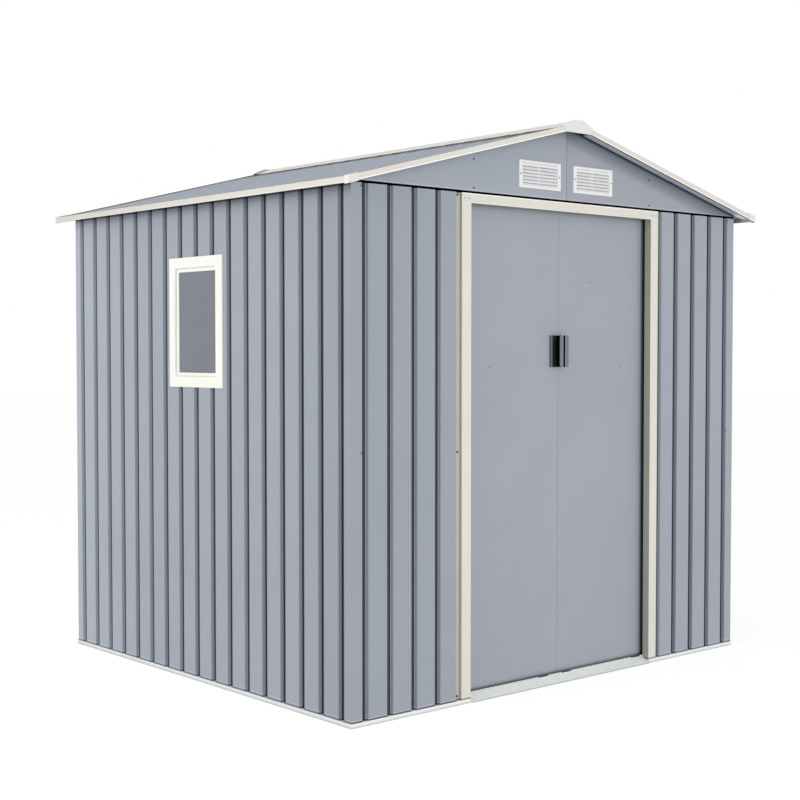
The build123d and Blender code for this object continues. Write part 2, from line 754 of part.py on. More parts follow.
def handle():
    """Left handle: foot on the leaf, web beside the other handle, grip with chamfered free corners."""
    face = LEAF_SETBACK - half_depth
    path = [
        (-HANDLE_FOOT, face),
        (-HANDLE_WEB, face),
        (-HANDLE_WEB, face - HANDLE_REACH),
        (-HANDLE_GRIP, face - HANDLE_REACH),
    ]
    low = HANDLE_HEIGHT - HANDLE_LENGTH / 2
    bar = upright(folded(path, HANDLE_SHEET), low, low + HANDLE_LENGTH)
    corners = bar.edges().filter_by(Axis.Y).filter_by_position(Axis.X, -HANDLE_GRIP - FIT, -HANDLE_GRIP + FIT)
    return chamfer(corners, HANDLE_CHAMFER)


def runners():
    """Two hangers on top of the left leaf and two guides under it."""
    middle = leaf_middle - half_depth
    edges = (-doorway_half - LEAF_OVERLAP + RUNNER_INSET, -LEAF_GAP / 2 - RUNNER_INSET)
    solids = []
    for x in edges:
        span = (x - RUNNER_LENGTH / 2, x + RUNNER_LENGTH / 2)
        neck = (middle - RUNNER_NECK / 2, middle + RUNNER_NECK / 2)
        head = (middle - RUNNER_HEAD / 2, middle + RUNNER_HEAD / 2)
        seat = track_foot + SHEET + FIT
        solids.append(block(span, neck, (leaf_top, seat)) + block(span, head, (seat, seat + RUNNER_HEAD_HEIGHT)))
        solids.append(block(span, neck, (SHEET + GUIDE_TIP_GAP, LEAF_FOOT)))
    return solids


left_wall = side_wall()
front_left_wall = front_wall()
left_jamb = jamb()
front_left_gable = gable_half()
left_vent = vent()
left_roof = roof()
left_eave = eave_trim()
left_verge = verge_trim()
front_cap = corner_cap()
ridge_end = ridge_end_cap()
left_purlin = purlin()
left_frame = window_frame()
left_pane = window_pane()
left_leaf = leaf()
left_handle = handle()
left_runners = runners()

base_rails()
top_rails()
mid_rails()
save("left_wall", left_wall)
save("right_wall", to_right(left_wall))
save("back_wall", back_wall())
save("front_left_wall", front_left_wall)
save("front_right_wall", to_right(front_left_wall))
save("left_jamb", left_jamb)
save("right_jamb", to_right(left_jamb))
save("door_header", header())
save("door_sill", sill())
save("door_lower_track", lower_track())
save("door_upper_track", upper_track())
save("front_left_gable", front_left_gable)
save("front_right_gable", to_right(front_left_gable))
save("back_left_gable", to_back(front_left_gable))
save("back_right_gable", to_right(to_back(front_left_gable)))
save("front_vents", left_vent, to_right(left_vent))
save("back_vents", to_back(left_vent), to_right(to_back(left_vent)))
save("left_roof", left_roof)
save("right_roof", to_right(left_roof))
save("ridge_beam", ridge_beam())
save("side_purlins", left_purlin, to_right(left_purlin))
save("ridge_cap", ridge_cap())
save("ridge_end_caps", ridge_end, to_back(ridge_end))
save("left_eave_trim", left_eave)
save("right_eave_trim", to_right(left_eave))
save("front_left_verge_trim", left_verge)
save("front_right_verge_trim", to_right(left_verge))
save("back_left_verge_trim", to_back(left_verge))
save("back_right_verge_trim", to_right(to_back(left_verge)))
save("roof_corner_caps", front_cap, to_right(front_cap), to_back(front_cap), to_right(to_back(front_cap)))
save("left_window_frame", left_frame)
save("right_window_frame", to_right(left_frame))
save("left_window_pane", left_pane)
save("right_window_pane", to_right(left_pane))
save("left_door", left_leaf)
save("right_door", to_right(left_leaf))
save("left_door_handle", left_handle)
save("right_door_handle", to_right(left_handle))
save("left_door_runners", *left_runners)
save("right_door_runners", *[to_right(solid) for solid in left_runners])
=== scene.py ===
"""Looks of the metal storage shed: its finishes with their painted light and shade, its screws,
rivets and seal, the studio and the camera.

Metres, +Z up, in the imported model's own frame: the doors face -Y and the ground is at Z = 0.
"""

import logging
import math
from abc import ABC, abstractmethod
from dataclasses import dataclass, field
from enum import Enum

import bmesh
import bpy
from mathutils import Matrix, Vector


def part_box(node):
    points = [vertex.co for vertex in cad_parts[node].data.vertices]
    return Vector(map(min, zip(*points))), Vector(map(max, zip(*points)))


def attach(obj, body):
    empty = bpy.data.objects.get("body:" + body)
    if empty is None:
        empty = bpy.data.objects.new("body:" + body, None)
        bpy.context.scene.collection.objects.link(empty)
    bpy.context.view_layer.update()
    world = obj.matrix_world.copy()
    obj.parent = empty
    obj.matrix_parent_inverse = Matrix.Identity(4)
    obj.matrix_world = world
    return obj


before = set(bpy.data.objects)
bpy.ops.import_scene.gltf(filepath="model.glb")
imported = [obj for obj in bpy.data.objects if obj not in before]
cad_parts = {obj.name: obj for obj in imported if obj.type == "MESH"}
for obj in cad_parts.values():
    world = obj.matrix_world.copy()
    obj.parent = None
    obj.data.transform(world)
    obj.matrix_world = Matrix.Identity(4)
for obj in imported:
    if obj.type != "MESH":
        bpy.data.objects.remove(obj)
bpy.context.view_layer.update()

Stops = tuple[tuple[float, float], ...]   # a measure and its level, with the measures rising

MM = 0.001
UP = Vector((0, 0, 1))
WHITE = (1.0, 1.0, 1.0, 1.0)
MIX_A, MIX_B, MIX_RESULT = 6, 7, 2        # the colour sockets of a Mix node
NOISE_LOW, NOISE_HIGH = 0.3, 0.7          # most of a noise's values lie between these
ROUGHNESS_SWING = 0.05                    # either way, with the grain

FRONT_PITCH = 105.4                       # between the grooves of the front and back, in mm
FIRST_GROOVE = 525.2                      # the groove beside a jamb, from the middle, in mm
SIDE_PITCH = 1790 / 17                    # between the grooves of the sides, in mm
SLOPE = {"Z": 1.0, "|X|": 0.256}          # the same all the way down the roof's slope, in mm

EVEN = (1.0, 1.0, 1.0)                    # powers of a shade's level for red, green and blue
COOL = (1.0, 0.93, 0.87)                  # hue of the painted shade on the grey enamel, which turns blue
OLIVE = (1.0, 0.97, 1.1)                  # hue of the painted shade on the cream enamel, which turns green

SHEET_ROUGHNESS = 0.45                    # satin enamel, baked on rolled sheets
TRIM_ROUGHNESS = 0.42                     # the same on flat leaves and trims, a little smoother

log = logging.getLogger("shed")


class Side(Enum):
    """Side of the shed, as seen from in front of its doors."""

    LEFT = -1
    RIGHT = 1


class End(Enum):
    """End of the shed: the front has the doors."""

    FRONT = -1
    BACK = 1


def linear(hex_colour: str) -> tuple[float, float, float, float]:
    """Turns an sRGB hex value into linear light.

    Args:
        hex_colour: Six hex digits after a #.

    Returns:
        Red, green, blue and alpha, as a socket takes them.
    """
    parts = [int(hex_colour[start:start + 2], 16) / 255 for start in (1, 3, 5)]
    red, green, blue = (
        part / 12.92 if part <= 0.04045 else ((part + 0.055) / 1.055) ** 2.4 for part in parts
    )
    return red, green, blue, 1.0


def add_node(
    tree: bpy.types.NodeTree,
    kind: str,
    values: dict | None = None,
    links: dict | None = None,
    **settings: object,
) -> bpy.types.Node:
    """Adds a node with its settings, socket values and links.

    Args:
        tree: The material's or the world's node tree.
        kind: The node's type after ShaderNode.
        values: Input sockets by name or index, with their values.
        links: Input sockets by name or index, with the outputs that feed them.
        **settings: The node's own properties.

    Returns:
        The new node.
    """
    node = tree.nodes.new(f"ShaderNode{kind}")
    for name, value in settings.items():
        setattr(node, name, value)
    for socket, value in (values or {}).items():
        node.inputs[socket].default_value = value
    for socket, output in (links or {}).items():
        tree.links.new(output, node.inputs[socket])
    return node


def set_stops(ramp: bpy.types.ColorRamp, stops: list[tuple[float, float]]) -> None:
    """Gives a ramp its grey stops.

    Args:
        ramp: The ramp of a ColorRamp node.
        stops: Positions from 0 to 1 and levels, in rising order.
    """
    while len(ramp.elements) < len(stops):
        ramp.elements.new(1.0)
    for element, (position, level) in zip(ramp.elements, stops):
        element.position = position
        element.color = (level, level, level, 1)


class Measures:
    """What shades are measured along, each made when it is first asked for.

    X, Y and Z are places in millimetres, NX, NY and NZ the surface's normal, a name between bars is
    its size, and IN is the distance in millimetres behind the walls' outer faces.
    """

    def __init__(self, tree: bpy.types.NodeTree) -> None:
        """Starts with the plain axes.

        Args:
            tree: The material's node tree.
        """
        self.tree = tree
        self.sources = add_node(tree, "TexCoord")
        place = add_node(
            tree, "VectorMath", {"Scale": 1 / MM}, {0: self.sources.outputs["Object"]}, operation="SCALE"
        )
        self.made: dict[str, bpy.types.NodeSocket] = {}
        for prefix, vector in (("", place.outputs["Vector"]), ("N", self.sources.outputs["Normal"])):
            parts = add_node(tree, "SeparateXYZ", links={"Vector": vector})
            for axis in "XYZ":
                self.made[prefix + axis] = parts.outputs[axis]

    def get(self, name: str) -> bpy.types.NodeSocket:
        """Finds a measure.

        Args:
            name: Its name, as the class says.

        Returns:
            An output with its value.
        """
        if name not in self.made:
            if name == "IN":
                made = self.make_depth()
            else:
                plain = self.get(name.strip("|"))
                made = add_node(self.tree, "Math", links={0: plain}, operation="ABSOLUTE")
            self.made[name] = made.outputs["Value"]
        return self.made[name]

    def make_depth(self) -> bpy.types.Node:
        """Builds IN from the walls' corner: the lesser distance from the side's face and the front's.

        Returns:
            The node whose value it is.
        """
        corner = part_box("left_wall")[0] / MM
        depths = [
            add_node(self.tree, "Math", {0: -reach}, {1: self.get(axis)}, operation="SUBTRACT")
            for reach, axis in ((corner.x, "|X|"), (corner.y, "|Y|"))
        ]
        links = {at: depth.outputs["Value"] for at, depth in enumerate(depths)}
        return add_node(self.tree, "Math", links=links, operation="MINIMUM")

    def total(self, along: dict[str, float]) -> bpy.types.NodeSocket:
        """Adds measures up.

        Args:
            along: Measures with their weights.

        Returns:
            An output with the weighted sum.
        """
        value = None
        for name, weight in along.items():
            links = {0: self.get(name)} if value is None else {0: self.get(name), 2: value}
            value = add_node(
                self.tree, "Math", {1: weight, 2: 0.0}, links, operation="MULTIPLY_ADD"
            ).outputs["Value"]
        return value


@dataclass(frozen=True)
class Shade:
    """Painted light and shade: levels along a measure, which multiply a finish's colour; above 1 they are
    painted highlights.
    """

    along: dict[str, float]                       # measures with their weights
    stops: Stops
    pitch: float = 0.0                            # repeats at this distance
    centre: float = 0.0                           # and is 0 here
    hue: tuple[float, float, float] = EVEN        # powers of the level for red, green and blue
    where: "Shade | None" = None                  # its level says how much of this shade is laid on

    def level(self, measures: Measures) -> bpy.types.NodeSocket:
        """Builds the level.

        Args:
            measures: The material's measures.

        Returns:
            An output that is 1 where the shade changes nothing.
        """
        tree = measures.tree
        value = measures.total(self.along)
        if self.pitch:
            value = add_node(
                tree, "Math", {1: -self.centre}, {0: value}, operation="ADD"
            ).outputs["Value"]
            value = add_node(
                tree, "Math", {1: self.pitch / 2, 2: -self.pitch / 2}, {0: value}, operation="WRAP"
            ).outputs["Value"]
        first, last = self.stops[0][0], self.stops[-1][0]
        position = add_node(tree, "MapRange", {"From Min": first, "From Max": last}, {"Value": value})
        ramp = add_node(tree, "ValToRGB", links={"Fac": position.outputs["Result"]})
        brightest = max(level for _, level in self.stops)   # a ramp holds levels up to 1
        length = last - first
        set_stops(ramp.color_ramp, [((at - first) / length, level / brightest) for at, level in self.stops])
        level = add_node(
            tree, "Math", {1: brightest}, {0: ramp.outputs["Color"]}, operation="MULTIPLY"
        ).outputs["Value"]
        if self.where:
            change = add_node(tree, "Math", {1: 1.0}, {0: level}, operation="SUBTRACT").outputs["Value"]
            share = self.where.level(measures)
            level = add_node(
                tree, "Math", {2: 1.0}, {0: share, 1: change}, operation="MULTIPLY_ADD"
            ).outputs["Value"]
        return level

    def light(self, measures: Measures) -> bpy.types.NodeSocket:
        """Builds the colour that multiplies the finish.

        Args:
            measures: The material's measures.

        Returns:
            An output of the level, with its hue.
        """
        level = self.level(measures)
        if self.hue == EVEN:
            return level
        tree = measures.tree
        parts = {
            name: add_node(tree, "Math", {1: power}, {0: level}, operation="POWER").outputs["Value"]
            for name, power in zip(("Red", "Green", "Blue"), self.hue)
        }
        return add_node(tree, "CombineColor", links=parts).outputs["Color"]


@dataclass(frozen=True)
class Finish:
    """A finish: its colour in soft patches, its painted light and shade, and the fine relief of its
    surface.
    """

    name: str
    colour: str
    roughness: float
    metallic: float = 0.0
    gloss: float = 0.3                 # level of the specular light
    patch_mm: float = 260.0            # size of the soft patches
    patch_depth: float = 0.02          # of their level, either way
    spangle_mm: float = 0.0            # size of zinc crystals, 0 for none
    spangle_share: float = 0.3         # of the crystals in the patches
    grain_mm: float = 6.0              # the real grain is finer: this is as fine as still shows
    grain_depth_mm: float = 0.02
    shades: tuple[Shade, ...] = ()

    def make(self) -> bpy.types.Material:
        """Builds the material.

        Returns:
            The material, with its pattern on Object coordinates.
        """
        material = bpy.data.materials.new(self.name)
        material.use_nodes = True
        tree = material.node_tree
        shader = tree.nodes["Principled BSDF"]
        shader.inputs["Metallic"].default_value = self.metallic
        shader.inputs["Specular IOR Level"].default_value = self.gloss
        measures = Measures(tree)
        place = measures.sources.outputs["Object"]
        colour = self.patched(tree, place)
        for shade in self.shades:
            colour = add_node(
                tree,
                "Mix",
                {0: 1.0},
                {MIX_A: colour, MIX_B: shade.light(measures)},
                data_type="RGBA",
                blend_type="MULTIPLY",
            ).outputs[MIX_RESULT]
        tree.links.new(colour, shader.inputs["Base Color"])
        self.grain(tree, place, shader)
        return material

    def patched(self, tree: bpy.types.NodeTree, place: bpy.types.NodeSocket) -> bpy.types.NodeSocket:
        """Builds the colour with its soft patches, and spangles where it has them.

        Args:
            tree: The material's node tree.
            place: Object coordinates.

        Returns:
            A colour output.
        """
        noise = add_node(
            tree, "TexNoise", {"Scale": 1 / (self.patch_mm * MM), "Detail": 3.0}, {"Vector": place}
        )
        source = noise.outputs["Fac"]
        if self.spangle_mm:
            cells = add_node(
                tree, "TexVoronoi", {"Scale": 1 / (self.spangle_mm * MM)}, {"Vector": place}
            )
            raised = add_node(
                tree, "Math", {1: self.spangle_share}, {0: cells.outputs["Color"], 2: source},
                operation="MULTIPLY_ADD",
            ).outputs["Value"]
            source = add_node(
                tree, "Math", {1: self.spangle_share / 2}, {0: raised}, operation="SUBTRACT"
            ).outputs["Value"]
        level = add_node(
            tree,
            "MapRange",
            {
                "From Min": NOISE_LOW,
                "From Max": NOISE_HIGH,
                "To Min": 1 - self.patch_depth,
                "To Max": 1 + self.patch_depth,
            },
            {"Value": source},
        )
        mixed = add_node(
            tree,
            "Mix",
            {0: 1.0, MIX_A: linear(self.colour)},
            {MIX_B: level.outputs["Result"]},
            data_type="RGBA",
            blend_type="MULTIPLY",
        )
        return mixed.outputs[MIX_RESULT]

    def grain(
        self, tree: bpy.types.NodeTree, place: bpy.types.NodeSocket, shader: bpy.types.Node
    ) -> None:
        """Gives the shader its roughness and the fine relief of its surface.

        Args:
            tree: The material's node tree.
            place: Object coordinates.
            shader: The Principled BSDF.
        """
        noise = add_node(
            tree, "TexNoise", {"Scale": 1 / (self.grain_mm * MM), "Detail": 2.0}, {"Vector": place}
        )
        rough = add_node(
            tree,
            "MapRange",
            {"To Min": self.roughness - ROUGHNESS_SWING, "To Max": self.roughness + ROUGHNESS_SWING},
            {"Value": noise.outputs["Fac"]},
        )
        tree.links.new(rough.outputs["Result"], shader.inputs["Roughness"])
        bump = add_node(
            tree,
            "Bump",
            {"Distance": self.grain_depth_mm * MM, "Strength": 1.0},
            {"Height": noise.outputs["Fac"]},
        )
        tree.links.new(bump.outputs["Normal"], shader.inputs["Normal"])


@dataclass(frozen=True)
class Pane(Finish):
    """Clear plastic sheet in a painted grey that stands for the shade of the dark inside behind it."""

    see_through: float = 0.35          # share of the light that is let through

    def make(self) -> bpy.types.Material:
        """Builds the material.

        Returns:
            The finish with part of its light let through.
        """
        material = super().make()
        shader = material.node_tree.nodes["Principled BSDF"]
        shader.inputs["Transmission Weight"].default_value = self.see_through
        return material


def enamel(name: str, colour: str, roughness: float, *shades: Shade) -> bpy.types.Material:
    """Makes a baked enamel.

    Args:
        name: What it covers.
        colour: Its sRGB hex value.
        roughness: Of its satin surface.
        *shades: The painted light and shade that its colour is multiplied with.

    Returns:
        The material.
    """
    return Finish(f"baked_enamel_{name}", colour, roughness, shades=shades).make()


def wall_shades(
    axis: str,
    pitch: float,
    centre: float,
    flank: tuple[float, float] = (0.95, 0.9),
    floor: float = 0.13,
    edges: Stops = ((-18, 1.0), (-14, 0.95), (14, 0.95), (18, 1.0)),
    foot: Stops = (
        (15, 0.3), (19.5, 0.26), (20.5, 1.0), (21.5, 1.5), (23.5, 1.3), (25.5, 1.05), (400, 1.0)
    ),
) -> tuple[Shade, ...]:
    """Painted light and shade of a grooved wall, for its groove floors and sides, the flats' edges and the
    foot.

    Args:
        axis: What the grooves are counted along.
        pitch: Between grooves, in mm.
        centre: Middle of one groove.
        flank: Painted levels of a groove's side, near its mouth and near its floor.
        floor: Level of its floor's painted shade.
        edges: Stops across a groove, for the painted shade on the flats' edges beside its mouth.
        foot: Stops above the ground, for the painted shadow and highlight along the foot.

    Returns:
        The shades.
    """
    # The mouth's bend ends 1.5 mm in, and a groove's floor lies deeper than 10.4 mm, also at a lap.
    depths = ((0, 1.0), (1.5, flank[0]), (7.5, flank[0]), (8.5, flank[1]), (9.9, flank[1]), (10.4, floor))
    return (
        Shade({"IN": 1.0}, depths, hue=COOL),
        Shade({axis: 1.0}, edges, pitch=pitch, centre=centre),
        Shade({"Z": 1.0}, foot, hue=COOL),
    )


class Palette:
    """Every finish of the shed, made once."""

    def __init__(self) -> None:
        """Makes the materials."""
        self.make_walls()
        self.make_leaves()
        self.make_gables()
        self.make_roof()
        self.make_trims()
        self.make_door_frame()
        self.make_metals()
        self.make_screws()
        self.make_window_and_vents()
        self.make_handles_and_runners()

    def make_walls(self) -> None:
        """Makes the baked enamels of the grooved walls."""
        grey = "#A7ADB8"
        # Satin grey enamel: soft, even flats between grooves that painted shade turns blue-black, with a
        # nearly black painted shadow line under the eave. Painted shade darkens it towards the front
        # corner.
        # Painted shade, darker towards the front corner.
        corner = Shade(
            {"Y": 1.0},
            (
                (-895, 0.82), (-780, 0.82), (-620, 0.885), (-300, 0.9),
                (300, 0.905), (700, 1.0), (895, 1.07),
            ),
        )
        # Painted shadow under the eave: a nearly black line.
        eave = Shade(
            {"Z": 1.0}, ((1720, 1.0), (1729, 0.86), (1737, 0.8), (1741, 0.25), (1746, 0.08)), hue=COOL
        )
        # Painted shadow and highlight along the foot, and painted shade on the flats' edges by each groove.
        foot = ((15, 0.5), (20.5, 0.5), (22, 1.1), (23, 1.4), (26, 1.15), (30, 1.05), (400, 1.0))
        edges = ((-17.5, 1.0), (-15, 0.3), (-13, 0.15), (-12, 1.0), (12, 1.0), (13, 0.7), (17.5, 1.0))
        side = wall_shades("Y", SIDE_PITCH, 0.0, flank=(0.85, 0.72), floor=0.06, edges=edges, foot=foot)
        self.side_wall = enamel("side_sheets", grey, SHEET_ROUGHNESS, *side, corner, eave)
        # The front's enamel, painted a little darker on the left as a shaded copy. Its grooves count
        # outwards from the doorway, with painted highlights low on their sides, and on the right painted
        # shade darkens the outer edge of each.
        front_left = wall_shades("|X|", FRONT_PITCH, FIRST_GROOVE, flank=(0.8, 1.9))
        self.front_left_wall = enamel("front_left_sheets", "#A1A7AF", SHEET_ROUGHNESS, *front_left)
        outer_edges = ((-18, 1.0), (-14, 0.95), (12.5, 0.6), (15.5, 0.75), (18, 1.0))
        front_right = wall_shades(
            "|X|", FRONT_PITCH, FIRST_GROOVE, flank=(0.95, 1.25), edges=outer_edges, foot=foot
        )
        self.front_right_wall = enamel("front_right_sheets", grey, SHEET_ROUGHNESS, *front_right)
        # The back's enamel: the same grey flats, painted shade in the grooves and painted shadow and
        # highlight along the foot, evenly lit.
        back = wall_shades("X", FRONT_PITCH, 0.0, foot=foot)
        self.back_wall = enamel("back_sheets", grey, SHEET_ROUGHNESS, *back)

    def make_leaves(self) -> None:
        """Makes the baked enamels of the sliding leaves."""
        # Flat enamel, a little warmer, with a painted shadow line along the foot and painted shade under
        # the header.
        foot = Shade(
            {"Z": 1.0},
            (
                (25, 0.12), (31, 0.2), (36, 0.85), (48, 1.0),
                (1672, 1.0), (1700, 0.95), (1711, 0.88), (1717, 0.7),
            ),
            hue=(1.0, 0.8, 0.88),
        )
        self.left_leaf = enamel("left_door", "#A8ACB6", TRIM_ROUGHNESS, foot)
        # Painted shade darkens the right leaf's edge, where it lies in the jamb's shade.
        painted_jamb_shade = Shade({"X": 1.0}, ((442, 1.0), (462, 0.85), (470, 0.5), (478, 0.12)), hue=COOL)
        self.right_leaf = enamel("right_door", "#A8ACB6", TRIM_ROUGHNESS, foot, painted_jamb_shade)

    def make_gables(self) -> None:
        """Makes the baked enamels of the gable sheets."""
        # Painted shadow under the roof: a black line with soft shade below it, deeper on the right half,
        # whose sheet is also painted a little darker. A painted highlight on the fold at the foot, a
        # black painted underside and a faint seam in the middle.
        painted_fold_highlight = Shade({"Z": 1.0}, ((1756, 1.2), (1760, 1.2), (1762, 1.0)))
        # Painted shade: the underside turns nearly black.
        under = Shade({"NZ": 1.0}, ((-0.8, 0.02), (-0.5, 1.0)))
        seam = Shade({"|X|": 1.0}, ((0, 0.7), (2.5, 0.85), (4.0, 1.0)), hue=COOL)
        # Painted shadow under the roof: a black line at the top and soft shade below it.
        line = Shade(SLOPE, ((1980, 1.0), (2008, 0.9), (2012, 0.2), (2018, 0.05)), hue=COOL)
        self.left_gable = enamel("left_gable", "#A8AEB8", SHEET_ROUGHNESS, painted_fold_highlight, under, seam, line)
        painted_deep_roof_shadow = Shade(
            SLOPE, ((1950, 1.0), (1975, 0.72), (2008, 0.5), (2012, 0.2), (2018, 0.05)), hue=COOL
        )
        self.right_gable = enamel("right_gable", "#A6AAB4", SHEET_ROUGHNESS, painted_fold_highlight, under, seam, painted_deep_roof_shadow)

    def make_roof(self) -> None:
        """Makes the baked enamel of the roof sheets."""
        # Grey on top with painted shade on the rib flanks. Underneath, painted light at the eave and verge
        # overhangs and painted shade where the sheets meet the gables. Painted shade blackens it under the
        # ridge cap, farther down on the left slope.
        flats = Shade(SLOPE, ((2026.0, 1.0), (2026.7, 0.0)))
        painted_shade_under_ridge = Shade(
            {"X": 1.0}, ((-146, 1.0), (-128, 0.3), (-112, 0.04), (84, 0.04), (92, 1.0)), where=flats
        )
        facing = Shade({"NY": 1.0}, ((-0.6, 1.0), (-0.3, 0.0)))
        painted_ridge_shade_line = Shade({"|X|": 1.0}, ((66, 0.02), (140, 0.04), (200, 1.0)), where=facing)
        painted_flank_shade = Shade({"|NY|": 1.0}, ((0.3, 1.0), (0.6, 0.8)), hue=COOL)
        below = Shade({"NZ": 1.0}, ((-0.7, 1.0), (-0.5, 0.0)))
        painted_verge_light_and_shade = Shade({"|Y|": 1.0}, ((896, 0.3), (899, 1.15), (932, 1.15), (937, 1.9)), where=below)
        painted_eave_light = Shade({"|X|": 1.0}, ((1000, 1.0), (1012, 1.6)), where=below)
        self.roof = enamel(
            "roof_sheets", "#B2B8C3", SHEET_ROUGHNESS, painted_shade_under_ridge, painted_ridge_shade_line, painted_flank_shade, painted_verge_light_and_shade, painted_eave_light
        )

    def make_trims(self) -> None:
        """Makes the baked enamels of the roof's trims and ridge cap."""
        cream = "#EAE7DD"
        # Painted shade on the undersides of all the cream trims.
        inside = Shade({"NZ": 1.0}, ((-0.75, 0.12), (-0.45, 1.0)), hue=OLIVE)
        # Satin cream enamel of the eave trims: a painted highlight on the lower fold, painted shade
        # underneath, and painted shade that dims them to the back.
        painted_fold_highlight = Shade({"Z": 1.0}, ((1736, 1.15), (1739, 1.15), (1740.5, 1.0)))
        length = Shade({"Y": 1.0}, ((-955, 0.88), (0, 0.82), (955, 0.78)))
        self.eave = enamel("eave_trim", cream, TRIM_ROUGHNESS, inside, painted_fold_highlight, length)
        # The front verge trims: painted highlights on the folds along both edges.
        painted_fold_highlights = Shade(SLOPE, ((2008.5, 1.35), (2011.5, 1.35), (2013, 0.95), (2026, 0.95), (2028, 1.02)))
        self.verge = enamel("verge_trim", cream, TRIM_ROUGHNESS, inside, painted_fold_highlights)
        # The back verge trims: a dark line of painted shade along the upper edge, where the sheets end.
        painted_far_edge_shade = Shade(SLOPE, ((2026.0, 1.0), (2027.2, 0.16)), hue=(1.0, 0.95, 1.0))
        self.back_verge = enamel("back_verge_trim", cream, TRIM_ROUGHNESS, inside, painted_far_edge_shade)
        # The ridge cap: a painted highlight on the lip over the dark open ends of the sheets.
        painted_lip_highlight = Shade({"Z": 1.0}, ((2010.6, 1.12), (2013.5, 1.12), (2015.5, 0.9)))
        self.ridge = enamel("ridge_cap", cream, TRIM_ROUGHNESS, inside, painted_lip_highlight)

    def make_door_frame(self) -> None:
        """Makes the baked enamels of the jambs and the header."""
        # Jambs: cream in front, with olive painted shade on the faces turned sideways and on the flange
        # that lies on the wall, and a painted shadow at the foot. The right one's painted shade is deeper.
        foot = Shade({"Z": 1.0}, ((15, 0.3), (19, 0.4), (22, 1.0)))
        self.jambs = [
            enamel(
                f"{name}_jamb",
                "#E9E6DC",
                TRIM_ROUGHNESS,
                Shade({"|NX|": 1.0}, ((0.4, 1.0), (0.7, side)), hue=OLIVE),
                Shade({"|X|": 1.0}, ((520, 1.0), (522, flange)), hue=OLIVE),
                foot,
            )
            for name, side, flange in (("left", 0.72, 0.74), ("right", 0.47, 0.25))
        ]
        # Header: the same cream with painted highlights on the lips above and below, and painted shade on
        # the underside.
        under = Shade({"NZ": 1.0}, ((-0.75, 0.35), (-0.45, 1.0)), hue=OLIVE)
        painted_lip_highlights = Shade(
            {"Z": 1.0}, ((1715, 1.08), (1718, 1.08), (1719, 1.0), (1744, 1.0), (1745.5, 1.3), (1748, 1.3))
        )
        self.header = enamel("header", "#E7E4DA", TRIM_ROUGHNESS, under, painted_lip_highlights)

    def make_metals(self) -> None:
        """Makes the bare metals."""
        # Galvanised rails: near-white with faint spangle, the side copy painted a little greyer for its
        # shade, with painted shade low down and a painted highlight along the top.
        # Painted shade low on the rails and a painted highlight on their top.
        lower = Shade({"Z": 1.0}, ((0, 0.72), (5.0, 0.78), (7.0, 0.98), (11, 1.0), (12.5, 1.1)))
        self.rail, self.side_rail = (
            Finish(
                f"galvanised_steel_{name}",
                colour,
                roughness=0.5,
                patch_mm=40.0,
                spangle_mm=9.0,
                shades=(lower,),
            ).make()
            for name, colour in (("rail", "#F6F7F7"), ("side_rail", "#E4E6E6"))
        )
        # Inner frame: galvanised steel with spangle, painted darker to stand for the dim room's shade.
        self.inner = Finish(
            "galvanised_steel_inner_frame",
            "#92969C",
            roughness=0.5,
            metallic=0.2,
            patch_mm=40.0,
            spangle_mm=12.0,
        ).make()
        # Rails seen through the open line below the gables: painted nearly black to stand for the full
        # shade there.
        self.gap = Finish(
            "galvanised_steel_in_shadow", "#050507", roughness=0.9, gloss=0.0, spangle_mm=12.0
        ).make()
        # Sill: brushed pale aluminium with a painted highlight on the crest and painted shade along the
        # lower edge.
        painted_crest_highlight_and_edge_shade = Shade({"Z": 1.0}, ((2.5, 0.55), (4.5, 0.95), (21, 1.0), (23, 1.08)))
        self.sill = Finish(
            "anodised_aluminium_sill",
            "#F9FEFA",
            roughness=0.4,
            patch_mm=60.0,
            grain_mm=3.0,
            shades=(painted_crest_highlight_and_edge_shade,),
        ).make()

    def make_screws(self) -> None:
        """Makes the metals of the screws and rivets."""
        # Blackened steel: small dark points with a dull gleam.
        self.screw = Finish(
            "blackened_steel_screw", "#26272B", roughness=0.4, metallic=0.3, patch_mm=3.0
        ).make()
        # Zinc-plated steel: mid grey, so that the screws by the corners hardly show.
        self.grey_screw = Finish(
            "zinc_steel_screw", "#5E6066", roughness=0.4, metallic=0.2, patch_mm=3.0
        ).make()
        # Rivets painted with the header: dull greyish cream.
        self.rivet = Finish("painted_rivet", "#949187", roughness=0.5, patch_mm=3.0).make()

    def make_window_and_vents(self) -> None:
        """Makes the moulded plastics of the window, the vents and the caps."""
        # Window frame: bright white moulding, smooth, with thin lines of painted shade round its ring.
        ring = Shade({"IN": 1.0}, ((1.5, 0.0), (2.5, 1.0)))
        upright = Shade({"|Y|": 1.0}, ((131, 1.0), (132, 0.8), (136, 0.8), (137, 1.0)), where=ring)
        level = Shade(
            {"Z": 1.0},
            (
                (1116, 1.0), (1117, 0.8), (1120, 0.8), (1121, 1.0),
                (1511, 1.0), (1512, 0.8), (1515, 0.8), (1516, 1.0),
            ),
            where=ring,
        )
        self.frame = Finish(
            "moulded_white_frame", "#F5F4ED", roughness=0.35, patch_depth=0.005, shades=(upright, level)
        ).make()
        # Vents: whiter moulding, with painted shade that leaves the slats' outer edges brightest and
        # dims them between.
        painted_slat_shade = Shade({"|Y|": 1.0}, ((884, 0.6), (889, 0.75), (893, 1.0), (897.5, 1.0), (898.5, 0.92)))
        self.vent = Finish(
            "moulded_white_vent", "#FEFEFF", roughness=0.4, patch_depth=0.005, shades=(painted_slat_shade,)
        ).make()
        # Corner caps: slightly greyer moulded plastic.
        cap = "#EAEAE8"
        self.cap = Finish("moulded_cap", cap, roughness=0.4, patch_depth=0.01).make()
